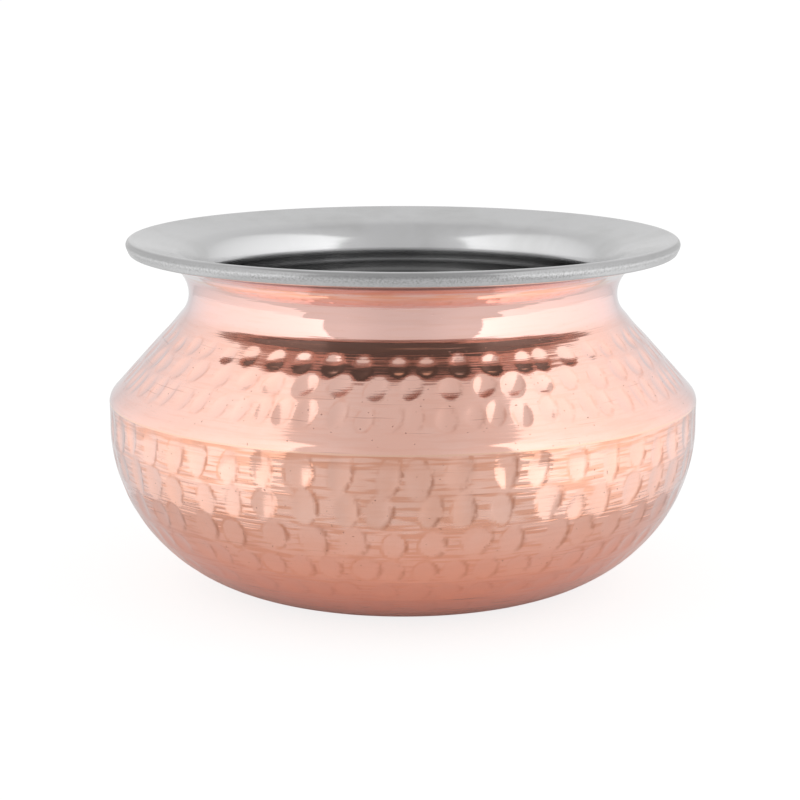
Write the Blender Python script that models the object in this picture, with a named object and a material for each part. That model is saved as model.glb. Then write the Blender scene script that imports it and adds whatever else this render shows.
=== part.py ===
"""Hammered copper handi with a polished steel inner vessel.

The pot is turned about +Z and stands on its flat base at z = 0. A thin steel vessel hangs by its lip inside
a copper jacket. The jacket is a bowl and a shoulder, brazed together on the ridge, which is the widest line.
The steel lip flares out over the copper and rolls down round a rim wire, which traps the copper's top edge.
"""

from collections import namedtuple
from math import cos, pi, radians, sin

import bmesh
import bpy

MM = 0.001

# Driving dimensions of the copper jacket's outer outline, from the base up.
BASE_RADIUS = 35.0 * MM  # flat that the pot stands on
HEEL_BEND = 37.0 * MM  # radius of the arc between the flat base and the bowl
HEEL_TURN = radians(26)
RIDGE_RADIUS = 75.0 * MM  # the widest line
BAND_HEIGHT = 4.6 * MM  # upright stretch between the bowl and the ridge
RIDGE_BEND = 6.5 * MM
SHOULDER_LEAN = radians(42)  # of the shoulder's cone, from the vertical
NECK_RADIUS = 54.5 * MM
NECK_BEND_BELOW = 7.6 * MM
NECK_BEND_ABOVE = 9.2 * MM
FLARE_TURN = radians(63.5)  # of the copper's flare, from the vertical
COPPER_EDGE_RADIUS = 66.1 * MM  # the copper ends here, trapped in the steel's rolled edge

# The steel vessel. It follows the copper up to the neck, and its throat is higher and its lip flatter.
THROAT_RISE = 3.5 * MM  # straight stretch above the neck
THROAT_BEND = 7.5 * MM
LIP_TURN = radians(75)  # of the lip, from the vertical
BEAD_CENTRE_RADIUS = 68.1 * MM  # middle of the rolled edge, from the pot's axis
BEAD_RADIUS = 2.1 * MM
BEAD_WRAP = radians(262)  # how far the steel rolls round the wire
WIRE_RADIUS = 1.15 * MM

# Sheets and the space between them.
COPPER_SHEET = 0.7 * MM
STEEL_SHEET = 0.6 * MM
AIR_GAP = 1.2 * MM

# The brazed seam on the ridge.
SEAM_GAP = 1.2 * MM  # between the bowl's edge and the shoulder's edge
SEAM_CLEARANCE = 0.3 * MM
FILLET_REACH = 1.3 * MM  # how far the fillet runs behind each edge
FILLET_DEPTH = 0.6 * MM

SEGMENTS = 48  # facets round the axis
ARC_STEP = radians(14)  # usual turn between two points of an outline
BEAD_STEP = radians(33)
WIRE_SIDES = 8
CREASE_ANGLE = radians(40)

COPPER_COLOUR = (0.91, 0.56, 0.44, 1.0)
STEEL_COLOUR = (0.62, 0.62, 0.62, 1.0)
BRAZE_COLOUR = (0.86, 0.62, 0.38, 1.0)


# A point of an outline. The heading is the direction of travel, turned from +radius towards +height.
Station = namedtuple("Station", "radius height heading")


class Outline:
    """A chain of tangent lines and arcs in the (radius, height) plane.

    It runs from the axis up the pot's outer side, so the pot's material is to the left of the heading.
    """

    def __init__(self, stations):
        self.stations = list(stations)

    def line(self, length):
        self.stations.append(ahead(self.stations[-1], length))

    def arc(self, bend, turn):
        """A positive turn is to the left."""
        start = self.stations[-1]
        side = 1 if turn > 0 else -1
        centre = inward(start, side * bend)
        pieces = max(1, round(abs(turn) / ARC_STEP))
        for piece in range(1, pieces + 1):
            heading = start.heading + turn * piece / pieces
            middle = Station(*centre, heading)
            self.stations.append(Station(*inward(middle, -side * bend), heading))


def ahead(station, distance):
    """The station this far straight on."""
    radius, height, heading = station
    return Station(radius + distance * cos(heading), height + distance * sin(heading), heading)


def inward(station, distance):
    """The point this far behind a station, on the pot's inner side."""
    radius, height, heading = station
    return radius - distance * sin(heading), height + distance * cos(heading)


def cone_length():
    """Length of the shoulder's straight, between the ridge's bend and the neck's."""
    rounded = (RIDGE_BEND + NECK_BEND_BELOW) * (1 - cos(SHOULDER_LEAN))
    return (RIDGE_RADIUS - NECK_RADIUS - rounded) / sin(SHOULDER_LEAN)


def bowl_bend():
    """Radius of the bowl's main arc, which ends upright at the ridge's radius."""
    heel_radius = BASE_RADIUS + HEEL_BEND * sin(HEEL_TURN)
    return (RIDGE_RADIUS - heel_radius) / (1 - sin(HEEL_TURN))


def jacket_outline():
    """The copper's whole outer outline, up to the straight part of the flare."""
    outline = Outline([Station(0.0, 0.0, 0.0)])
    outline.line(BASE_RADIUS)
    outline.arc(HEEL_BEND, HEEL_TURN)
    outline.arc(bowl_bend(), pi / 2 - HEEL_TURN)
    outline.line(BAND_HEIGHT)
    outline.arc(RIDGE_BEND, SHOULDER_LEAN)
    outline.line(cone_length())
    outline.arc(NECK_BEND_BELOW, -SHOULDER_LEAN)
    outline.arc(NECK_BEND_ABOVE, -FLARE_TURN)
    return outline


def seam_height():
    """The seam is in the lower part of the ridge's bend."""
    heel_height = HEEL_BEND * (1 - cos(HEEL_TURN))
    band_top = heel_height + bowl_bend() * cos(HEEL_TURN) + BAND_HEIGHT
    return band_top + RIDGE_BEND * sin(SHOULDER_LEAN / 3)


def station_at(outline, height):
    """The station at a height between two stations of the outline's upright stretch."""
    for below, above in zip(outline.stations, outline.stations[1:]):
        if below.height < height <= above.height:
            share = (height - below.height) / (above.height - below.height)
            return Station(*(a + (b - a) * share for a, b in zip(below, above)))
    raise ValueError("the outline doesn't reach that height")


def straight_to(outline, radius):
    """The station at a radius on the straight that carries on from the outline's end."""
    last = outline.stations[-1]
    return ahead(last, (radius - last.radius) / cos(last.heading))


def steel_outline(jacket):
    """The steel's outer face: behind the copper up to the neck, then its own throat and lip up to the bead."""
    behind = COPPER_SHEET + AIR_GAP
    neck_height = min((s.radius, s.height) for s in jacket.stations if s.height > seam_height())[1]
    followed = [s for s in jacket.stations if s.height <= neck_height]
    outline = Outline(Station(*inward(s, behind), s.heading) for s in followed)
    outline.line(THROAT_RISE)
    outline.arc(THROAT_BEND, -LIP_TURN)
    bead_drop = BEAD_RADIUS - STEEL_SHEET
    heading = outline.stations[-1].heading
    outline.stations.append(straight_to(outline, BEAD_CENTRE_RADIUS - bead_drop * sin(heading)))
    return outline


def bead_centre(steel):
    """The bead is flush with the lip's upper face, so its middle is in front of the steel's outer face."""
    return inward(steel.stations[-1], STEEL_SHEET - BEAD_RADIUS)


def circle_points(centre, radius, angles):
    return [(centre[0] + radius * cos(angle), centre[1] + radius * sin(angle)) for angle in angles]


def turned(name, profile, material, closed):
    """A solid of revolution. An open profile starts and ends on the axis."""
    shape = bmesh.new()
    points = [shape.verts.new((radius, 0.0, height)) for radius, height in profile]
    ends = points[1:] + points[:1] if closed else points[1:]
    edges = [shape.edges.new(pair) for pair in zip(points, ends)]
    bmesh.ops.spin(
        shape,
        geom=points + edges,
        cent=(0, 0, 0),
        axis=(0, 0, 1),
        angle=2 * pi,
        steps=SEGMENTS,
        use_merge=True,
    )
    bmesh.ops.remove_doubles(shape, verts=shape.verts, dist=0.01 * MM)
    bmesh.ops.recalc_face_normals(shape, faces=shape.faces)
    mesh = bpy.data.meshes.new(name)
    shape.to_mesh(mesh)
    shape.free()
    mesh.shade_smooth()
    mesh.set_sharp_from_angle(angle=CREASE_ANGLE)
    mesh.materials.append(material)
    bpy.context.scene.collection.objects.link(bpy.data.objects.new(name, mesh))


def metal(name, colour, roughness):
    material = bpy.data.materials.new(name)
    material.use_nodes = True
    shader = material.node_tree.nodes["Principled BSDF"]
    shader.inputs["Base Color"].default_value = colour
    shader.inputs["Metallic"].default_value = 1.0
    shader.inputs["Roughness"].default_value = roughness
    return material


def sheet_profile(stations):
    """The outline of the copper sheet along these stations."""
    outside = [inward(station, 0.0) for station in stations]
    inside = [inward(station, COPPER_SHEET) for station in stations]
    return inside + outside[::-1]


def copper_bowl(outline, material):
    """The jacket's lower half, from the flat base to the seam."""
    top = station_at(outline, seam_height() - SEAM_GAP / 2)
    stations = [s for s in outline.stations if s.height < top.height - SEAM_CLEARANCE] + [top]
    turned("copper_bowl", sheet_profile(stations), material, closed=False)


def copper_shoulder(outline, material):
    """The jacket's upper half, from the seam over the neck to the edge trapped in the steel's rolled edge."""
    foot = station_at(outline, seam_height() + SEAM_GAP / 2)
    stations = [foot] + [s for s in outline.stations if s.height > foot.height + SEAM_CLEARANCE]
    stations.append(straight_to(outline, COPPER_EDGE_RADIUS))
    turned("copper_shoulder", sheet_profile(stations), material, closed=True)


def seam_braze(outline, material):
    """The braze fills the joint from edge to edge, with a fillet behind both edges."""
    face = SEAM_GAP / 2 - SEAM_CLEARANCE
    behind = COPPER_SHEET + SEAM_CLEARANCE
    section = (
        (-FILLET_REACH, behind),
        (-FILLET_REACH / 2, behind + FILLET_DEPTH),
        (FILLET_REACH / 2, behind + FILLET_DEPTH),
        (FILLET_REACH, behind),
        (face, behind),
        (face, 0.0),
        (-face, 0.0),
        (-face, behind),
    )
    profile = [inward(station_at(outline, seam_height() + rise), depth) for rise, depth in section]
    turned("seam_braze", profile, material, closed=True)


def steel_inner_vessel(steel, material):
    """One sheet, from the bottom of the bowl up to the lip and round the rim wire."""
    inside = [inward(station, STEEL_SHEET) for station in steel.stations]
    outside = [inward(station, 0.0) for station in steel.stations]
    pieces = round(BEAD_WRAP / BEAD_STEP)
    start = steel.stations[-1].heading + pi / 2
    angles = [start - BEAD_WRAP * piece / pieces for piece in range(1, pieces + 1)]
    bead_face = circle_points(bead_centre(steel), BEAD_RADIUS, angles)
    bead_hollow = circle_points(bead_centre(steel), BEAD_RADIUS - STEEL_SHEET, angles)
    profile = inside + bead_face + bead_hollow[::-1] + outside[::-1]
    turned("steel_inner_vessel", profile, material, closed=False)


def rim_wire(steel, material):
    """A round wire ring in the hollow of the rolled edge."""
    angles = [2 * pi * side / WIRE_SIDES for side in range(WIRE_SIDES)]
    profile = circle_points(bead_centre(steel), WIRE_RADIUS, angles)
    turned("rim_wire", profile, material, closed=True)


def main():
    for old in list(bpy.data.objects):
        bpy.data.objects.remove(old)
    jacket = jacket_outline()
    copper = metal("hammered_copper", COPPER_COLOUR, roughness=0.2)
    copper_bowl(jacket, copper)
    copper_shoulder(jacket, copper.copy())
    seam_braze(jacket, metal("brass_braze", BRAZE_COLOUR, roughness=0.3))
    steel = steel_outline(jacket)
    steel_inner_vessel(steel, metal("polished_steel", STEEL_COLOUR, roughness=0.18))
    rim_wire(steel, metal("drawn_steel_wire", STEEL_COLOUR, roughness=0.4))


main()
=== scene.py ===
from collections import namedtuple
from math import cos, pi, radians, sin

import bpy
import numpy as np
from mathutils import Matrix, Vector


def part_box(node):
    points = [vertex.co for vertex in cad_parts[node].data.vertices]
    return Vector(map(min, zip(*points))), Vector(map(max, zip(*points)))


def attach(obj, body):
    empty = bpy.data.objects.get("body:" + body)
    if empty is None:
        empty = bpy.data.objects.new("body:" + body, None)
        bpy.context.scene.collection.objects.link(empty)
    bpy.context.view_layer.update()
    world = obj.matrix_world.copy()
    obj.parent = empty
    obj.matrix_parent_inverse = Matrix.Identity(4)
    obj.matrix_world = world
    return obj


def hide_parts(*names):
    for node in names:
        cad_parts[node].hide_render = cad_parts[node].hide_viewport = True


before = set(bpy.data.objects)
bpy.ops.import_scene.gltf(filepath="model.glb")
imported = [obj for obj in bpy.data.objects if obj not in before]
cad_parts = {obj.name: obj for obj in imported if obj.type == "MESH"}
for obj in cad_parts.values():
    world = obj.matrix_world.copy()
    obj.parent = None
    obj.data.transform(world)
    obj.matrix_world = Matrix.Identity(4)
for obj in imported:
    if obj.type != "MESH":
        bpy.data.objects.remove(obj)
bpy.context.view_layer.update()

MM = 0.001
BODY = "root"

# --- sizes --------------------------------------------------------------------------------------------

# The pot's outline is the CAD's chain of lines and arcs in finer steps. What the frame's boxes give is
# read from them, and the bends are repeated here.
BASE_RADIUS = 35.0 * MM
HEEL_BEND = 37.0 * MM
HEEL_TURN = radians(26)
RIDGE_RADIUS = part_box("copper_bowl")[1][0]
BAND_HEIGHT = 5.64 * MM
RIDGE_BEND = 3.8 * MM  # crisper than the CAD's, with a taller band, so the bowl and the cone stay in place
SHOULDER_LEAN = radians(42)
NECK_RADIUS = 54.5 * MM
NECK_BEND_BELOW = 7.6 * MM
NECK_BEND_ABOVE = 9.2 * MM
FLARE_TURN = radians(63.5)
COPPER_EDGE_RADIUS = 66.1 * MM
THROAT_RISE = 3.5 * MM
THROAT_BEND = 7.5 * MM
LIP_TURN = radians(75)
BEAD_CENTRE_RADIUS = 68.1 * MM
BEAD_RADIUS = 2.1 * MM

# The rolled edge, in the CAD a round bead: a crest, a face that slants in, and a foot folded up to the
# copper.
CREST_LEAD = 0.72 * MM
CREST_BEND = 1.45 * MM
FACE_SLANT = radians(24)
FACE_LENGTH = 1.3 * MM
FOOT_BEND = 0.7 * MM
FOOT_TURN = radians(94)
FOOT_LENGTH = 2.4 * MM

STEP_HEIGHT = 75.0 * MM  # a low step turned in the steel below the throat
STEP_DEPTH = 0.15 * MM
STEP_REACH = 0.6 * MM
COPPER_SHEET = 0.7 * MM
STEEL_SHEET = 0.6 * MM
AIR_GAP = 1.2 * MM

# The brazed seam. Only a thin line of braze shows: the CAD's joint is wider, to keep its pieces apart.
SEAM_HEIGHT = (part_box("copper_bowl")[1][2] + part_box("copper_shoulder")[0][2]) / 2
SEAM_WIDTH = 0.4 * MM
BRAZE_LAP = 0.02 * MM  # over the copper's edges, and the height of its crown
BRAZE_DEPTH = 0.9 * MM
FILLET_FRONT = 1.0 * MM  # depth of the fillet's front and back
FILLET_BACK = 1.5 * MM
FILLET_REACH = 1.3 * MM
FILLET_FLAT = 0.6 * MM

# Mesh steps: small enough that a hammer mark's edge is real geometry.
COPPER_AROUND = 640
STEEL_AROUND = 360
FINE_STEP = 0.72 * MM
EDGE_STEP = 0.25 * MM
HIDDEN_STEP = 4.0 * MM
CREASE_ANGLE = radians(50)

# A ring of marks round the pot: height of the ring on the pot, spacing round the pot, size of a mark
# round the pot and along the outline, depth, slant, and how unevenly the marks were struck.
Ring = namedtuple("Ring", "height spacing width length depth slant uneven")

BOWL_RINGS = (
    Ring(7.5 * MM, 8.5 * MM, 5.5 * MM, 5.0 * MM, 0.07 * MM, 0.0, 0.5),
    Ring(12.8 * MM, 8.0 * MM, 6.4 * MM, 6.0 * MM, 0.16 * MM, 0.0, 0.4),
    Ring(19.2 * MM, 7.3 * MM, 6.4 * MM, 7.0 * MM, 0.27 * MM, 0.0, 0.35),
    Ring(26.6 * MM, 9.6 * MM, 6.8 * MM, 8.2 * MM, 0.25 * MM, 0.05, 0.4),
    Ring(34.4 * MM, 9.4 * MM, 6.4 * MM, 8.6 * MM, 0.30 * MM, 0.05, 0.45),
    Ring(43.0 * MM, 9.4 * MM, 6.2 * MM, 9.6 * MM, 0.33 * MM, 0.08, 0.4),
)
SHOULDER_RINGS = (
    Ring(55.4 * MM, 6.2 * MM, 4.8 * MM, 7.6 * MM, 0.24 * MM, 0.2, 0.35),
    Ring(61.0 * MM, 8.2 * MM, 5.6 * MM, 7.0 * MM, 0.30 * MM, 0.5, 0.3),
    Ring(65.5 * MM, 7.4 * MM, 4.6 * MM, 5.8 * MM, 0.27 * MM, 0.3, 0.4),
)
BOWL_SEED = 11
SHOULDER_SEED = 23

# How far a mark strays in a ring of unevenness 1, for one standard deviation.
PLACE_STRAY = 0.28  # round the pot, as a share of the spacing
RISE_STRAY = 0.14  # along the outline, as a share of the length
SIZE_STRAY = 0.20
DEPTH_STRAY = 0.35
SLANT_STRAY = 0.30
TAPER_STRAY = 0.22
BOW_STRAY = 0.3
LARGEST_STRAY = 2.0  # standard deviations

HOLLOW_HEIGHT = 65.7 * MM  # a shallow hollow runs round the shoulder below the neck
HOLLOW_DEPTH = 0.16 * MM
HOLLOW_REACH = 5.0 * MM
WOBBLE = 0.05 * MM  # how far the hammered sheet strays from a true turned shape
WOBBLE_WAVES = 9
WOBBLE_TURNS = (7, 24)
WOBBLE_PITCH = (18.0 * MM, 50.0 * MM)
CALM_START = 4.0 * MM  # the wobble fades out from here to here beside the seam
CALM_WHOLE = 0.5 * MM

# --- looks --------------------------------------------------------------------------------------------

# How a copper sheet is finished: its tones (clean, stained, and dark in streaks and in painted shade on the
# marks' edges), its roughness, the depths of its coarse and fine turning lines, and how strongly it is
# tarnished and its marks' right edges shaded.
Finish = namedtuple("Finish", "tones roughness coarse_depth fine_depth tarnish")

BOWL_TONES = ((0.95, 0.57, 0.46, 1.0), (0.93, 0.51, 0.385, 1.0), (0.80, 0.37, 0.24, 1.0))
SHOULDER_TONES = ((0.95, 0.58, 0.485, 1.0), (0.94, 0.54, 0.435, 1.0), (0.90, 0.48, 0.37, 1.0))
BOWL_FINISH = Finish(BOWL_TONES, 0.13, 0.26 * MM, 0.025 * MM, 0.8)
SHOULDER_FINISH = Finish(SHOULDER_TONES, 0.10, 0.035 * MM, 0.018 * MM, 0.3)
PIT_COLOUR = (0.22, 0.09, 0.05, 1.0)
# Painted shade: the dark crescents on the marks' right edges.
CRESCENT_SHADE_COLOUR = (0.45, 0.17, 0.09, 1.0)
EDGE_TINT = (0.89, 0.92, 0.98, 1.0)  # seen edge-on, the copper is less red
COAT_WEIGHT = 0.8
COAT_ROUGHNESS = 0.07

# Turning lines, as noise drawn out round the pot: about this pitch up the outline and this length.
Lines = namedtuple("Lines", "pitch length")
STREAKS = Lines(0.9 * MM, 11.0 * MM)
SCRATCHES = Lines(0.5 * MM, 26.0 * MM)
COARSE_LINES = Lines(1.05 * MM, 16.0 * MM)
FINE_LINES = Lines(0.42 * MM, 40.0 * MM)
STEEL_LINES = Lines(1.0 * MM / 2.2, 100.0 * MM)
PIT_DEPTH = 0.03 * MM
COPPER_GRAIN = 0.004 * MM
STEEL_LINE_DEPTH = 0.006 * MM
STEEL_GRAIN = 0.008 * MM

# The neck is smooth and paler. The flare is painted paler still, as a painted highlight, and its underside
# is painted dark and dull, as painted shade under the rolled edge. A zone begins at its start, fades in,
# and is whole from there on.
NECK_TONES = ((0.96, 0.61, 0.54, 1.0), (0.95, 0.59, 0.51, 1.0))
NECK_START = 69.0 * MM
NECK_WHOLE = 72.0 * MM
NECK_ROUGHNESS = 0.55  # as a share of the shoulder's
# Painted highlight: the flare's pale tone stands in for a light strip reflected on it.
FLARE_HIGHLIGHT_TONES = ((0.96, 0.82, 0.75, 1.0), (0.95, 0.66, 0.49, 1.0))
FLARE_START = 79.0 * MM
FLARE_WHOLE = 81.5 * MM
# Painted shade: the flare's underside is painted dark under the rolled edge.
UNDERSIDE_SHADE_COLOUR = (0.105, 0.080, 0.070, 1.0)
UNDERSIDE_START = 59.9 * MM  # radius
UNDERSIDE_WHOLE = 61.2 * MM
UNDERSIDE_FOOT = 80.0 * MM  # height
UNDERSIDE_TOP = 82.0 * MM
UNDERSIDE_ROUGHNESS = 0.15  # more than the rest

# The bowl has painted shade in a darker band below the seam, and a painted reflection that is redder and
# darker towards the bottom.
SEAM_SHADE_START = SEAM_HEIGHT - 4.2 * MM
SEAM_SHADE_WHOLE = SEAM_HEIGHT - 1.2 * MM
# Painted reflection: redder and darker towards the bottom, for copper-tinted light reflected from the table
# below.
LOW_REFLECTION_COLOUR = (0.97, 0.42, 0.275, 1.0)
LOW_START = 34.0 * MM
LOW_WHOLE = 8.0 * MM
ZONE_SHARE = 0.75  # how much of the colour below is covered by the painted shade below the seam and by the painted reflection towards the bottom

# The steel is painted darker inside, as painted shade in the vessel. Its rolled edge is grainy, with a
# painted dark reflection in a line below the crest; the places on it are measured along the sheet, from the
# end of the lip.
STEEL_TONES = ((0.63, 0.63, 0.635, 1.0), (0.58, 0.58, 0.58, 1.0))
INSIDE_SHADE_COLOUR = (0.42, 0.42, 0.42, 1.0)
INSIDE_START = 76.0 * MM
INSIDE_WHOLE = 73.0 * MM
GRAINY_TONES = ((0.46, 0.46, 0.46, 1.0), (0.60, 0.60, 0.605, 1.0))
GRAINY_FROM = (1.5 * MM, 2.2 * MM)
GRAINY_FADE = (3.4 * MM, 2.9 * MM)
GRAINY_ROUGHNESS = 0.04
# Painted reflection: a dark line round the rolled edge, below the crest.
DARK_REFLECTION_COLOUR = (0.20, 0.20, 0.20, 1.0)
DARK_REFLECTION_SHARE = 0.55
DARK_REFLECTION_FROM = (1.2 * MM, 1.6 * MM)
DARK_REFLECTION_TO = (2.5 * MM, 2.0 * MM)

BRAZE_COLOUR = (0.92, 0.56, 0.42, 1.0)
BRAZE_ROUGHNESS = 0.18
WIRE_COLOUR = (0.5, 0.5, 0.5, 1.0)
WIRE_ROUGHNESS = 0.4

# --- camera and studio --------------------------------------------------------------------------------

# The camera, from the pot's base. The pot's axis is slightly right of the middle of the frame.
CAMERA_AWAY = 0.580
CAMERA_RISE = radians(11.1)
CAMERA_AIM_HEIGHT = 0.046
CAMERA_AIM_SIDE = -0.00075
CAMERA_LENS = 101.24
SENSOR_WIDTH = 36.0

# A grey tent with a bright wall on each side, which fades towards the back and starts further from the
# camera below the horizon. The pot's stand is a small round table top in a white cove.
WALL_AWAY = 0.50
WALL_TOP = 0.90
WALL_STEP = -0.11
WALL_BOTTOM = -0.30
WALL_FRONT = -0.59
LOWER_WALL_FRONT = -0.38
WALL_BACK = 0.90
WALL_GLOW = {-1: (1.46, 0.76), 1: (1.58, 0.80)}  # left, right: at the front edge, at the back edge
LOWER_WALL_SHARE = 0.86
TENT_FRONT = 0.70
TENT_SIDES = 0.80
TENT_BELOW = 0.96  # as a share of the tent above the horizon
TABLE_RADIUS = 0.110
TABLE_GREY = 0.80
TABLE_LIFT = 0.02 * MM
COVE_RADIUS = 5.0
COVE_BEND = 2.0
COVE_HEIGHT = 3.5
COVE_STEP = 0.5
COVE_BEND_STEP = 0.2
COVE_GREY = 0.22
COVE_GLOW = 0.83
STAGE_AROUND = 96
WHITE = (1.0, 1.0, 1.0, 1.0)
BLACK = (0.0, 0.0, 0.0, 1.0)

# --- outlines -----------------------------------------------------------------------------------------

# A point of an outline. The heading is the direction of travel, turned from +radius towards +height, and
# along is the distance travelled.
Station = namedtuple("Station", "radius height heading along")


class Outline:
    """A chain of tangent lines and arcs in the (radius, height) plane, from the axis up the outer side."""

    def __init__(self, stations):
        self.stations = list(stations)

    def line(self, length, step=FINE_STEP):
        start = self.stations[-1]
        pieces = max(1, round(length / step))
        for piece in range(1, pieces + 1):
            self.stations.append(ahead(start, length * piece / pieces))

    def arc(self, bend, turn, step=FINE_STEP):
        """A positive turn is to the left."""
        start = self.stations[-1]
        side = 1 if turn > 0 else -1
        centre = inward(start, side * bend)
        pieces = max(2, round(bend * abs(turn) / step))
        for piece in range(1, pieces + 1):
            heading = start.heading + turn * piece / pieces
            middle = Station(*centre, heading, 0.0)
            along = start.along + bend * abs(turn) * piece / pieces
            self.stations.append(Station(*inward(middle, -side * bend), heading, along))


def ahead(station, distance):
    """The station this far straight on."""
    radius, height, heading, along = station
    radius += distance * cos(heading)
    height += distance * sin(heading)
    return Station(radius, height, heading, along + distance)


def inward(station, distance):
    """The point this far behind a station, on the pot's inner side."""
    radius, height, heading, _ = station
    return radius - distance * sin(heading), height + distance * cos(heading)


def straight_to(outline, radius):
    """The station at a radius on the straight that carries on from the outline's end."""
    last = outline.stations[-1]
    return ahead(last, (radius - last.radius) / cos(last.heading))


def station_at(outline, height):
    """The station at a height between two stations of the outline."""
    for below, above in zip(outline.stations, outline.stations[1:]):
        if below.height < height <= above.height:
            share = (height - below.height) / (above.height - below.height)
            return Station(*(a + (b - a) * share for a, b in zip(below, above)))
    raise ValueError("the outline doesn't reach that height")


def jacket_outline():
    """The copper's whole outer outline, up to its edge."""
    heel_radius = BASE_RADIUS + HEEL_BEND * sin(HEEL_TURN)
    bowl_bend = (RIDGE_RADIUS - heel_radius) / (1 - sin(HEEL_TURN))
    rounded = (RIDGE_BEND + NECK_BEND_BELOW) * (1 - cos(SHOULDER_LEAN))
    outline = Outline([Station(0.0, 0.0, 0.0, 0.0)])
    outline.line(BASE_RADIUS, step=3 * FINE_STEP)
    outline.arc(HEEL_BEND, HEEL_TURN)
    outline.arc(bowl_bend, pi / 2 - HEEL_TURN)
    outline.line(BAND_HEIGHT)
    outline.arc(RIDGE_BEND, SHOULDER_LEAN)
    outline.line((RIDGE_RADIUS - NECK_RADIUS - rounded) / sin(SHOULDER_LEAN))
    outline.arc(NECK_BEND_BELOW, -SHOULDER_LEAN)
    outline.arc(NECK_BEND_ABOVE, -FLARE_TURN)
    outline.line(straight_to(outline, COPPER_EDGE_RADIUS).along - outline.stations[-1].along)
    return outline


def steel_outline(jacket):
    """The steel's outer face: behind the copper up to the neck, then its own throat and lip."""
    behind = COPPER_SHEET + AIR_GAP
    neck_height = min((s.radius, s.height) for s in jacket.stations if s.height > SEAM_HEIGHT)[1]
    followed = [s for s in jacket.stations if s.height <= neck_height]
    outline = Outline(Station(*inward(s, behind), s.heading, s.along) for s in followed)
    outline.line(THROAT_RISE)
    outline.arc(THROAT_BEND, -LIP_TURN)
    drop = BEAD_RADIUS - STEEL_SHEET
    end = straight_to(outline, BEAD_CENTRE_RADIUS - drop * sin(outline.stations[-1].heading))
    outline.line(end.along - outline.stations[-1].along)
    return outline


def rolled_edge(steel):
    """The steel's outer face past the end of the lip: down over the copper and up behind it."""
    edge = Outline([steel.stations[-1]])
    edge.line(CREST_LEAD, step=EDGE_STEP)
    crest_turn = pi / 2 + edge.stations[-1].heading + FACE_SLANT
    edge.arc(CREST_BEND - STEEL_SHEET, -crest_turn, step=EDGE_STEP / 2)
    edge.line(FACE_LENGTH, step=EDGE_STEP)
    edge.arc(FOOT_BEND - STEEL_SHEET, -FOOT_TURN, step=EDGE_STEP / 8)
    edge.line(FOOT_LENGTH, step=3 * EDGE_STEP)
    return edge


# --- hammer marks -------------------------------------------------------------------------------------


def smooth_step(low, high, value):
    """From 0 at low to 1 at high. Low may be the larger."""
    share = np.clip((value - low) / (high - low), 0.0, 1.0)
    return share * share * (3 - 2 * share)


def wobble(outline, around, along, dice):
    """A slight unevenness over the hammered part, as a sum of waves that go round the pot."""
    total = np.zeros_like(along)
    for _ in range(WOBBLE_WAVES):
        turns = dice.integers(*WOBBLE_TURNS)
        pitch = dice.uniform(*WOBBLE_PITCH)
        phase = dice.uniform(0, 2 * pi)
        total += np.sin(turns * around + 2 * pi * along / pitch + phase)
    heights = np.array([s.height for s in outline.stations])
    alongs = np.array([s.along for s in outline.stations])
    height = np.interp(along, alongs, heights)
    below_neck = smooth_step(NECK_WHOLE, NECK_START, height)
    off_seam = smooth_step(CALM_WHOLE, CALM_START, np.abs(height - SEAM_HEIGHT))
    return WOBBLE * (1 + total / WOBBLE_WAVES) / 2 * below_neck * off_seam


def hollow(outline, along):
    distance = np.abs(along - station_at(outline, HOLLOW_HEIGHT).along)
    return HOLLOW_DEPTH * smooth_step(HOLLOW_REACH, 0.0, distance)


def hammer(outline, rings, around, along, seed):
    """How deep each point is hammered in, how far it is inside a mark, and how near it is to a mark's right
    edge, for painted shade.
    """
    dice = np.random.default_rng(seed)
    depth = np.zeros_like(along)
    inside = np.zeros_like(along)
    edge = np.zeros_like(along)
    for ring in rings:
        middle = station_at(outline, ring.height)
        count = round(2 * pi * middle.radius / ring.spacing)
        shifts = dice.normal(0.0, 1.0, (count, 8))
        for number in range(count):
            shift = np.clip(shifts[number], -LARGEST_STRAY, LARGEST_STRAY) * ring.uneven
            angle = 2 * pi * (number + PLACE_STRAY * shift[0]) / count
            place = middle.along + RISE_STRAY * ring.length * shift[1]
            width = ring.width * (1 + SIZE_STRAY * shift[2])
            length = ring.length * (1 + SIZE_STRAY * shift[3])
            deep = ring.depth * (1 + DEPTH_STRAY * shift[4])
            slant = ring.slant + SLANT_STRAY * shift[5]
            side = (np.mod(around - angle + pi, 2 * pi) - pi) * middle.radius
            rise = along - place
            across = (side * cos(slant) - rise * sin(slant)) / (width / 2)
            up = (side * sin(slant) + rise * cos(slant)) / (length / 2)
            across = across * (1 + TAPER_STRAY * shift[6] * np.clip(up, -1.5, 1.5))
            up = up + BOW_STRAY * shift[7] * np.clip(across**2, 0, 2)
            reach = across**2 + up**2
            depth = np.maximum(depth, deep * np.clip(1 - reach, 0, None))
            inside = np.maximum(inside, smooth_step(1.15, 0.75, reach))
            # Where painted shade goes: a crescent on the right side of each mark's edge.
            near_edge = smooth_step(0.45, 0.1, np.abs(reach - 0.85))
            edge = np.maximum(edge, near_edge * np.clip(1.4 * across - 0.3, 0, 1))
    return depth + wobble(outline, around, along, dice) + hollow(outline, along), inside, edge


# --- meshes -------------------------------------------------------------------------------------------


def angles(count):
    return np.arange(count) * (2 * pi / count)


def swept(profile, headings, count, depth=0.0):
    """Rings of points for a turned profile, moved inward along its normals by depth."""
    turn = angles(count)
    radius = profile[:, 0:1] - depth * np.sin(headings)[:, None]
    height = profile[:, 1:2] + depth * np.cos(headings)[:, None]
    flat = np.broadcast_to(height, (len(profile), count))
    return np.stack([radius * np.cos(turn), radius * np.sin(turn), flat], axis=-1)


def turned(profile, count):
    """Rings of points for a turned profile as it is."""
    return swept(profile, np.zeros(len(profile)), count)


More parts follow.
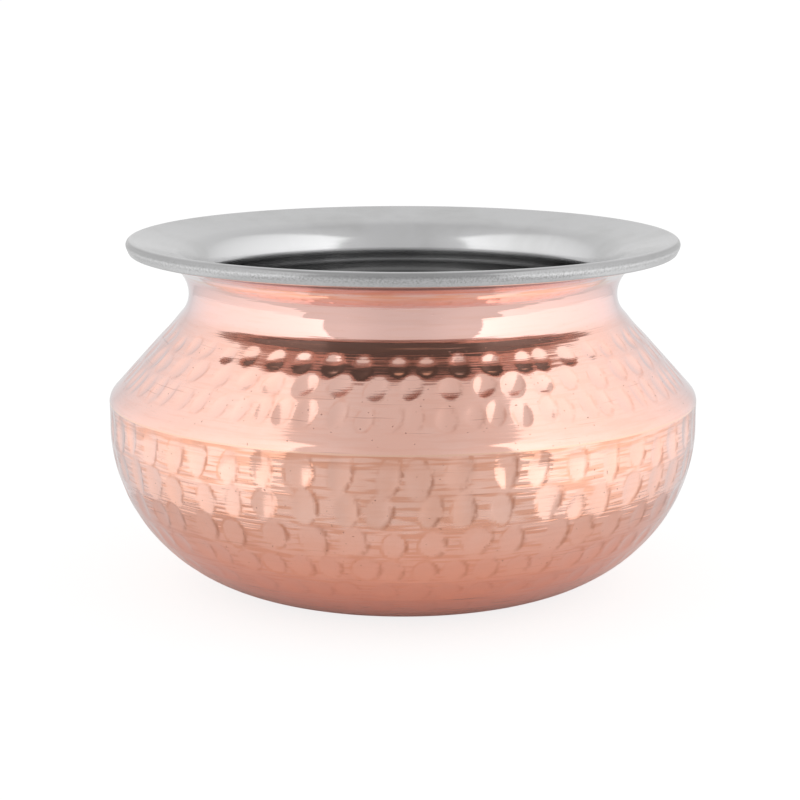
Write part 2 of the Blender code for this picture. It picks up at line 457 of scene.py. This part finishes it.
def shell_mesh(name, rows, closed, attributes=None, caps=(True, True)):
    """A mesh from rows of points, each row a ring. rows has the shape (rings, points round a ring, 3).

    A closed shell joins its last ring to its first; an open one is capped at both ends with a fan.
    """
    rings, around_count, _ = rows.shape
    points = rows.reshape(-1, 3)
    index = np.arange(rings * around_count).reshape(rings, around_count)
    upper = np.roll(index, -1, axis=0) if closed else index[1:]
    lower = index if closed else index[:-1]
    corners = [lower, np.roll(lower, -1, axis=1), np.roll(upper, -1, axis=1), upper]
    faces = np.stack(corners, axis=-1).reshape(-1, 4).tolist()
    for row, turned_over, wanted in ((0, True, caps[0]), (-1, False, caps[1])):
        if closed or not wanted:
            continue
        centre = len(points)
        points = np.concatenate([points, [[0, 0, rows[row, :, 2].mean()]]])
        for pair in zip(index[row], np.roll(index[row], -1)):
            first, second = (int(v) for v in (pair[::-1] if turned_over else pair))
            faces.append([centre, first, second])
    mesh = bpy.data.meshes.new(name)
    mesh.from_pydata(points.tolist(), [], faces)
    for label, values in (attributes or {}).items():
        layer = mesh.attributes.new(label, "FLOAT", "POINT")
        padded = np.zeros(len(mesh.vertices), np.float32)
        padded[: values.size] = values.reshape(-1)
        layer.data.foreach_set("value", padded)
    mesh.shade_smooth()
    mesh.validate()
    mesh.set_sharp_from_angle(angle=CREASE_ANGLE)
    made = bpy.data.objects.new(name, mesh)
    bpy.context.scene.collection.objects.link(made)
    return made


def sheet_rows(outline, stations, rings, seed):
    """A copper sheet's outer rings with its hammer marks, then its hidden inner rings in wide steps."""
    profile = np.array([[s.radius, s.height] for s in stations])
    headings = np.array([s.heading for s in stations])
    along = np.array([s.along for s in stations])
    around_grid, along_grid = np.meshgrid(angles(COPPER_AROUND), along)
    depth, inside, edge = hammer(outline, rings, around_grid, along_grid, seed)
    outer = swept(profile, headings, COPPER_AROUND, depth)
    keep = [0]
    for number in range(1, len(stations)):
        if along[number] - along[keep[-1]] >= HIDDEN_STEP or number == len(stations) - 1:
            keep.append(number)
    keep = keep[::-1]
    inner = swept(profile[keep], headings[keep], COPPER_AROUND, COPPER_SHEET)
    smooth = np.zeros(inner.shape[:2])
    attributes = {
        "mark": np.concatenate([inside, smooth]),
        # Painted shade on the marks' right edges.
        "crescent_shade": np.concatenate([edge, smooth]),
        "along": np.concatenate([along_grid, along_grid[keep]]),
    }
    return np.concatenate([outer, inner]), attributes


def finished(made, material, node):
    """Gives a piece its material and its place in the frame."""
    made.data.materials.append(material)
    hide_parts(node)
    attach(made, BODY)


def copper_bowl(outline, material):
    top = station_at(outline, SEAM_HEIGHT - SEAM_WIDTH / 2)
    stations = [s for s in outline.stations[1:] if s.along < top.along - FINE_STEP / 3] + [top]
    rows, attributes = sheet_rows(outline, stations, BOWL_RINGS, BOWL_SEED)
    made = shell_mesh("hammered_bowl", rows, closed=False, attributes=attributes)
    finished(made, material, "copper_bowl")


def copper_shoulder(outline, material):
    foot = station_at(outline, SEAM_HEIGHT + SEAM_WIDTH / 2)
    stations = [foot] + [s for s in outline.stations if s.along > foot.along + FINE_STEP / 3]
    rows, attributes = sheet_rows(outline, stations, SHOULDER_RINGS, SHOULDER_SEED)
    made = shell_mesh("hammered_shoulder", rows, closed=True, attributes=attributes)
    finished(made, material, "copper_shoulder")


def seam_braze(outline, material):
    """A thin ring of braze, flush with the copper and slightly crowned, with a fillet behind the joint."""
    face = SEAM_WIDTH / 2 + BRAZE_LAP
    crown = [(face * cos(pi * k / 6), -BRAZE_LAP * sin(pi * k / 6)) for k in range(7)]
    section = [
        (-FILLET_REACH, FILLET_FRONT),
        (-FILLET_FLAT, FILLET_BACK),
        (FILLET_FLAT, FILLET_BACK),
        (FILLET_REACH, FILLET_FRONT),
        (face, BRAZE_DEPTH),
        *crown,
        (-face, BRAZE_DEPTH),
    ]
    profile = [inward(station_at(outline, SEAM_HEIGHT + rise), depth) for rise, depth in section]
    made = shell_mesh("seam_line", turned(np.array(profile), COPPER_AROUND), closed=True)
    finished(made, material, "seam_braze")


def steel_vessel(steel, material):
    """The whole sheet: its inner face, the rolled edge's two faces, and its hidden outer face."""
    sheet = steel.stations[1:]
    edge = rolled_edge(steel).stations[1:]
    inside = []
    for s in sheet:
        step = STEP_DEPTH * smooth_step(STEP_REACH, 0.0, abs(s.height - STEP_HEIGHT))
        inside.append((*inward(s, STEEL_SHEET + step), s.along))
    edge_face = [(*inward(s, STEEL_SHEET), s.along) for s in edge]
    edge_back = [(*inward(s, 0.0), s.along) for s in edge][::-2]
    outside = [(*inward(s, 0.0), s.along) for s in sheet][::-3]
    profile = np.array(inside + edge_face + edge_back + outside)[::-1]
    rows = turned(profile[:, :2], STEEL_AROUND)
    along = np.broadcast_to(profile[:, 2:3], rows.shape[:2])
    made = shell_mesh("steel_vessel", rows, closed=False, attributes={"along": along})
    finished(made, material, "steel_inner_vessel")


# --- materials ----------------------------------------------------------------------------------------


class Nodes:
    """Short calls for building a node tree."""

    def __init__(self, tree):
        self.tree = tree

    def add(self, kind, **settings):
        node = self.tree.nodes.new(kind)
        for key, value in settings.items():
            setattr(node, key, value)
        return node

    def feed(self, socket, value):
        if isinstance(value, bpy.types.NodeSocket):
            self.tree.links.new(value, socket)
        else:
            socket.default_value = value

    def attribute(self, name):
        return self.add("ShaderNodeAttribute", attribute_name=name).outputs["Fac"]

    def place(self):
        return self.add("ShaderNodeTexCoord").outputs["Object"]

    def math(self, operation, *values):
        node = self.add("ShaderNodeMath", operation=operation)
        for socket, value in zip(node.inputs, values):
            self.feed(socket, value)
        return node.outputs[0]

    def times(self, first, second):
        return self.math("MULTIPLY", first, second)

    def combine(self, x, y, z):
        node = self.add("ShaderNodeCombineXYZ")
        for socket, value in zip(node.inputs, (x, y, z)):
            self.feed(socket, value)
        return node.outputs[0]

    def separate(self, vector):
        node = self.add("ShaderNodeSeparateXYZ")
        self.feed(node.inputs[0], vector)
        return node.outputs

    def noise(self, vector, scale, detail=2.0, roughness=0.5):
        node = self.add("ShaderNodeTexNoise")
        self.feed(node.inputs["Vector"], vector)
        node.inputs["Scale"].default_value = scale
        node.inputs["Detail"].default_value = detail
        node.inputs["Roughness"].default_value = roughness
        return node.outputs["Fac"]

    def remap(self, value, low, high, to_low=0.0, to_high=1.0, kind="LINEAR"):
        node = self.add("ShaderNodeMapRange", interpolation_type=kind)
        labels = ("Value", "From Min", "From Max", "To Min", "To Max")
        for label, number in zip(labels, (value, low, high, to_low, to_high)):
            self.feed(node.inputs[label], number)
        return node.outputs[0]

    def smooth(self, value, low, high, to_low=0.0, to_high=1.0):
        return self.remap(value, low, high, to_low, to_high, kind="SMOOTHSTEP")

    def mix(self, share, first, second):
        node = self.add("ShaderNodeMix", data_type="RGBA")
        self.feed(node.inputs[0], share)
        self.feed(node.inputs[6], first)
        self.feed(node.inputs[7], second)
        return node.outputs[2]

    def bump(self, height, distance, strength=1.0, normal=None):
        node = self.add("ShaderNodeBump")
        self.feed(node.inputs["Height"], height)
        node.inputs["Distance"].default_value = distance
        self.feed(node.inputs["Strength"], strength)
        if normal is not None:
            self.feed(node.inputs["Normal"], normal)
        return node.outputs[0]


def new_material(name):
    material = bpy.data.materials.new(name)
    material.use_nodes = True
    return material, Nodes(material.node_tree), material.node_tree.nodes["Principled BSDF"].inputs


def turning_lines(n, place, along, lines, detail=1.5, roughness=0.5):
    x, y, _ = n.separate(place)
    x = n.math("DIVIDE", x, lines.length)
    y = n.math("DIVIDE", y, lines.length)
    spun = n.combine(x, y, n.math("DIVIDE", along, lines.pitch))
    return n.noise(spun, 1.0, detail, roughness)


# The patterns that both copper materials are made of. Clear is 1 between the marks and low inside them.
Pattern = namedtuple("Pattern", "place along mark clear stain streak pits")


def copper_pattern(n):
    place = n.place()
    along = n.attribute("along")
    mark = n.attribute("mark")
    clear = n.remap(mark, 0.0, 1.0, 1.0, 0.12)
    stain = n.noise(place, 45.0, detail=4.0, roughness=0.65)
    streak = turning_lines(n, place, along, STREAKS)
    pits = n.smooth(n.noise(place, 1500.0, detail=0.0), 0.825, 0.855)
    return Pattern(place, along, mark, clear, stain, streak, pits)


def copper_tone(n, pattern, finish):
    """The stained colour, with dark streaks between the marks, painted shade on the marks' edges, scratches
    and pits.
    """
    clean, stained, dark = finish.tones
    tone = n.mix(n.smooth(pattern.stain, 0.36, 0.66), clean, stained)
    streaks = n.times(n.smooth(pattern.streak, 0.46, 0.62, 0.0, finish.tarnish), pattern.clear)
    tone = n.mix(streaks, tone, dark)
    # Painted shade: the marks' edges, where the sheet creases, are darkened in patches.
    edge = n.times(pattern.mark, n.math("SUBTRACT", 1.0, pattern.mark))
    patchy = n.smooth(n.noise(pattern.place, 160.0), 0.48, 0.68)
    tone = n.mix(n.times(n.remap(edge, 0.0, 0.25, 0.0, 0.8), patchy), tone, dark)
    broken = n.smooth(n.noise(pattern.place, 420.0, detail=3.0), 0.37, 0.57)
    # Painted shade: dark crescents on the marks' right edges, in patches.
    crescent_shade = n.times(n.attribute("crescent_shade"), broken)
    tone = n.mix(n.times(crescent_shade, finish.tarnish), tone, CRESCENT_SHADE_COLOUR)
    scratch_lines = turning_lines(n, pattern.place, pattern.along, SCRATCHES)
    scratch = n.smooth(scratch_lines, 0.70, 0.75, 0.0, 0.3)
    return n.mix(n.math("MAXIMUM", n.times(pattern.pits, 0.6), scratch), tone, PIT_COLOUR)


def copper_roughness(n, pattern, finish):
    return n.remap(pattern.stain, 0.3, 0.7, finish.roughness * 0.8, finish.roughness * 1.25)


def lacquered_copper(n, shader, pattern, finish, tone, rough):
    """Feeds the shader, with turning lines, pits and grain as bumps under a thin clear coat."""
    coarse_lines = turning_lines(n, pattern.place, pattern.along, COARSE_LINES)
    fine_lines = turning_lines(n, pattern.place, pattern.along, FINE_LINES)
    coarse = n.bump(coarse_lines, finish.coarse_depth, pattern.clear)
    fine = n.bump(fine_lines, finish.fine_depth, 1.0, coarse)
    pitted = n.bump(pattern.pits, -PIT_DEPTH, 1.0, fine)
    grain = n.noise(pattern.place, 700.0, detail=3.0)
    n.feed(shader["Base Color"], tone)
    n.feed(shader["Roughness"], rough)
    n.feed(shader["Normal"], n.bump(grain, COPPER_GRAIN, 1.0, pitted))
    shader["Metallic"].default_value = 1.0
    shader["Specular Tint"].default_value = EDGE_TINT
    shader["Coat Weight"].default_value = COAT_WEIGHT
    shader["Coat Roughness"].default_value = COAT_ROUGHNESS


def bowl_material():
    material, n, shader = new_material("bowl_copper")
    pattern = copper_pattern(n)
    z = n.separate(pattern.place)[2]
    tone = copper_tone(n, pattern, BOWL_FINISH)
    # Painted shade: a darker band below the seam, broken up by the streaks.
    seam_shade = n.smooth(z, SEAM_SHADE_START, SEAM_SHADE_WHOLE, 0.0, ZONE_SHARE)
    tone = n.mix(n.times(seam_shade, n.smooth(pattern.streak, 0.35, 0.6)), tone, BOWL_FINISH.tones[2])
    # Painted reflection: redder and darker towards the bottom.
    tone = n.mix(n.smooth(z, LOW_START, LOW_WHOLE, 0.0, ZONE_SHARE), tone, LOW_REFLECTION_COLOUR)
    rough = copper_roughness(n, pattern, BOWL_FINISH)
    lacquered_copper(n, shader, pattern, BOWL_FINISH, tone, rough)
    return material


def shoulder_material():
    material, n, shader = new_material("shoulder_copper")
    pattern = copper_pattern(n)
    x, y, z = n.separate(pattern.place)
    radius = n.math("POWER", n.math("ADD", n.times(x, x), n.times(y, y)), 0.5)
    neck = n.smooth(z, NECK_START, NECK_WHOLE)
    flare = n.smooth(z, FLARE_START, FLARE_WHOLE)
    under = n.smooth(radius, UNDERSIDE_START, UNDERSIDE_WHOLE)
    under = n.times(under, n.smooth(z, UNDERSIDE_FOOT, UNDERSIDE_TOP))
    tone = copper_tone(n, pattern, SHOULDER_FINISH)
    tone = n.mix(neck, tone, n.mix(n.smooth(pattern.streak, 0.45, 0.7), *NECK_TONES))
    # Painted highlight: the flare is tinted pale.
    tone = n.mix(flare, tone, n.mix(n.smooth(pattern.streak, 0.44, 0.58), *FLARE_HIGHLIGHT_TONES))
    # Painted shade under the rolled edge: the flare's underside is painted dark.
    tone = n.mix(under, tone, UNDERSIDE_SHADE_COLOUR)
    rough = copper_roughness(n, pattern, SHOULDER_FINISH)
    rough = n.times(rough, n.remap(neck, 0.0, 1.0, 1.0, NECK_ROUGHNESS))
    rough = n.math("ADD", rough, n.times(under, UNDERSIDE_ROUGHNESS))
    lacquered_copper(n, shader, pattern, SHOULDER_FINISH, tone, rough)
    return material


def steel_material(lip_end):
    """Polished steel with fine turning lines. lip_end is how far along the sheet its rolled edge starts."""
    material, n, shader = new_material("polished_steel")
    place = n.place()
    along = n.attribute("along")
    past = n.math("SUBTRACT", along, lip_end)
    z = n.separate(place)[2]
    lines = turning_lines(n, place, along, STEEL_LINES, detail=3.0, roughness=0.7)
    grain = n.noise(place, 2200.0, roughness=0.6)
    smudge = n.noise(place, 60.0, detail=3.0, roughness=0.6)
    grainy = n.times(n.smooth(past, *GRAINY_FROM), n.smooth(past, *GRAINY_FADE, 0.35, 1.0))
    line = n.times(n.smooth(past, *DARK_REFLECTION_FROM), n.smooth(past, *DARK_REFLECTION_TO))
    tone = n.mix(n.smooth(smudge, 0.4, 0.7), *STEEL_TONES)
    # Painted shade: the steel is darker inside the vessel.
    tone = n.mix(n.smooth(z, INSIDE_START, INSIDE_WHOLE), tone, INSIDE_SHADE_COLOUR)
    tone = n.mix(grainy, tone, n.mix(n.smooth(grain, 0.35, 0.6), *GRAINY_TONES))
    rough = n.math("ADD", n.remap(lines, 0.3, 0.7, 0.13, 0.2), n.remap(smudge, 0.4, 0.8, 0.0, 0.06))
    # Painted reflection: the dark line below the crest.
    n.feed(shader["Base Color"], n.mix(n.times(line, DARK_REFLECTION_SHARE), tone, DARK_REFLECTION_COLOUR))
    n.feed(shader["Roughness"], n.math("ADD", rough, n.times(grainy, GRAINY_ROUGHNESS)))
    n.feed(shader["Normal"], n.bump(grain, STEEL_GRAIN, grainy, n.bump(lines, STEEL_LINE_DEPTH)))
    shader["Metallic"].default_value = 1.0
    return material


def plain_metal(name, colour, roughness, coat=0.0):
    material, n, shader = new_material(name)
    grain = n.noise(n.place(), 1200.0)
    n.feed(shader["Roughness"], n.remap(grain, 0.3, 0.7, roughness * 0.8, roughness * 1.2))
    shader["Base Color"].default_value = colour
    shader["Metallic"].default_value = 1.0
    shader["Coat Weight"].default_value = coat
    shader["Coat Roughness"].default_value = COAT_ROUGHNESS
    return material


# --- studio -------------------------------------------------------------------------------------------


def tent_world():
    """A grey tent, darker towards the camera, where it is open, and below the horizon."""
    world = bpy.data.worlds.new("tent")
    world.use_nodes = True
    background = world.node_tree.nodes["Background"].inputs
    n = Nodes(world.node_tree)
    x, y, z = n.separate(n.add("ShaderNodeTexCoord").outputs["Generated"])
    sides = n.smooth(n.math("ABSOLUTE", x), 0.1, 0.55)
    rear = n.smooth(y, 0.2, 0.7)
    tent = n.remap(n.math("MAXIMUM", sides, rear), 0.0, 1.0, TENT_FRONT, TENT_SIDES)
    above = n.smooth(z, -0.15, 0.0, TENT_BELOW, 1.0)
    n.feed(background["Strength"], n.times(tent, above))
    background["Color"].default_value = WHITE
    bpy.context.scene.world = world


def stage_piece(name, points, faces, material):
    mesh = bpy.data.meshes.new(name)
    mesh.from_pydata(points, [], faces)
    mesh.materials.append(material)
    made = bpy.data.objects.new(name, mesh)
    bpy.context.scene.collection.objects.link(made)
    return made


def matte(name, grey, glow=0.0):
    material, _, shader = new_material(name)
    shader["Base Color"].default_value = (grey, grey, grey, 1.0)
    shader["Roughness"].default_value = 0.9
    shader["Specular IOR Level"].default_value = 0.0
    shader["Emission Color"].default_value = WHITE
    shader["Emission Strength"].default_value = glow
    return material


def bright_wall(name, side, front, bottom, top, glow):
    """A wall of light beside the pot, which fades from its front edge to its back edge."""
    material, n, shader = new_material(name)
    y = n.separate(n.place())[1]
    n.feed(shader["Emission Strength"], n.remap(y, WALL_FRONT, WALL_BACK, *glow))
    shader["Emission Color"].default_value = WHITE
    shader["Base Color"].default_value = BLACK
    shader["Specular IOR Level"].default_value = 0.0
    x = side * WALL_AWAY
    corners = [(x, front, bottom), (x, WALL_BACK, bottom), (x, WALL_BACK, top), (x, front, top)]
    made = stage_piece(name, corners, [(0, 1, 2, 3)], material)
    made.visible_camera = False


def cove():
    """A white floor that curves up into a wall all round, with no horizon. The pot doesn't mirror it."""
    outline = Outline([Station(0.0, 0.0, 0.0, 0.0)])
    outline.line(COVE_RADIUS - COVE_BEND, step=COVE_STEP)
    outline.arc(COVE_BEND, pi / 2, step=COVE_BEND_STEP)
    outline.line(COVE_HEIGHT - COVE_BEND, step=COVE_STEP)
    profile = np.array([[s.radius, s.height] for s in outline.stations[1:]])
    made = shell_mesh("cove", turned(profile, STAGE_AROUND), closed=False, caps=(True, False))
    made.data.materials.append(matte("cove_white", COVE_GREY, COVE_GLOW))
    made.visible_glossy = False
    made.visible_shadow = False


def table_top():
    """The pot mirrors a small round table top, in place of the cove."""
    ring = [(TABLE_RADIUS * cos(a), TABLE_RADIUS * sin(a), TABLE_LIFT) for a in angles(STAGE_AROUND)]
    made = stage_piece("table_top", ring, [tuple(range(len(ring)))], matte("table_white", TABLE_GREY))
    made.visible_camera = False
    made.visible_diffuse = False
    made.visible_shadow = False


def studio():
    bpy.context.scene.view_settings.view_transform = "Standard"
    tent_world()
    for side, glow in WALL_GLOW.items():
        bright_wall(f"wall_{side}", side, WALL_FRONT, WALL_STEP, WALL_TOP, glow)
        lower_glow = [LOWER_WALL_SHARE * value for value in glow]
        bright_wall(f"lower_wall_{side}", side, LOWER_WALL_FRONT, WALL_BOTTOM, WALL_STEP, lower_glow)
    cove()
    table_top()


def camera():
    data = bpy.data.cameras.new("camera")
    data.lens = CAMERA_LENS
    data.sensor_width = SENSOR_WIDTH
    data.clip_start = 0.01
    data.clip_end = 100.0
    made = bpy.data.objects.new("camera", data)
    aim = Vector((CAMERA_AIM_SIDE, 0.0, CAMERA_AIM_HEIGHT))
    back = Vector((0.0, -cos(CAMERA_RISE), sin(CAMERA_RISE)))
    made.location = aim + back * CAMERA_AWAY
    made.rotation_euler = (-back).to_track_quat("-Z", "Y").to_euler()
    bpy.context.scene.collection.objects.link(made)
    bpy.context.scene.camera = made


def main():
    studio()
    camera()
    jacket = jacket_outline()
    steel = steel_outline(jacket)
    copper_bowl(jacket, bowl_material())
    copper_shoulder(jacket, shoulder_material())
    seam_braze(jacket, plain_metal("brass_braze", BRAZE_COLOUR, BRAZE_ROUGHNESS, COAT_WEIGHT))
    steel_vessel(steel, steel_material(steel.stations[-1].along))
    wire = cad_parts["rim_wire"]
    wire.data.materials.clear()
    wire.data.materials.append(plain_metal("drawn_steel_wire", WIRE_COLOUR, WIRE_ROUGHNESS))


main()
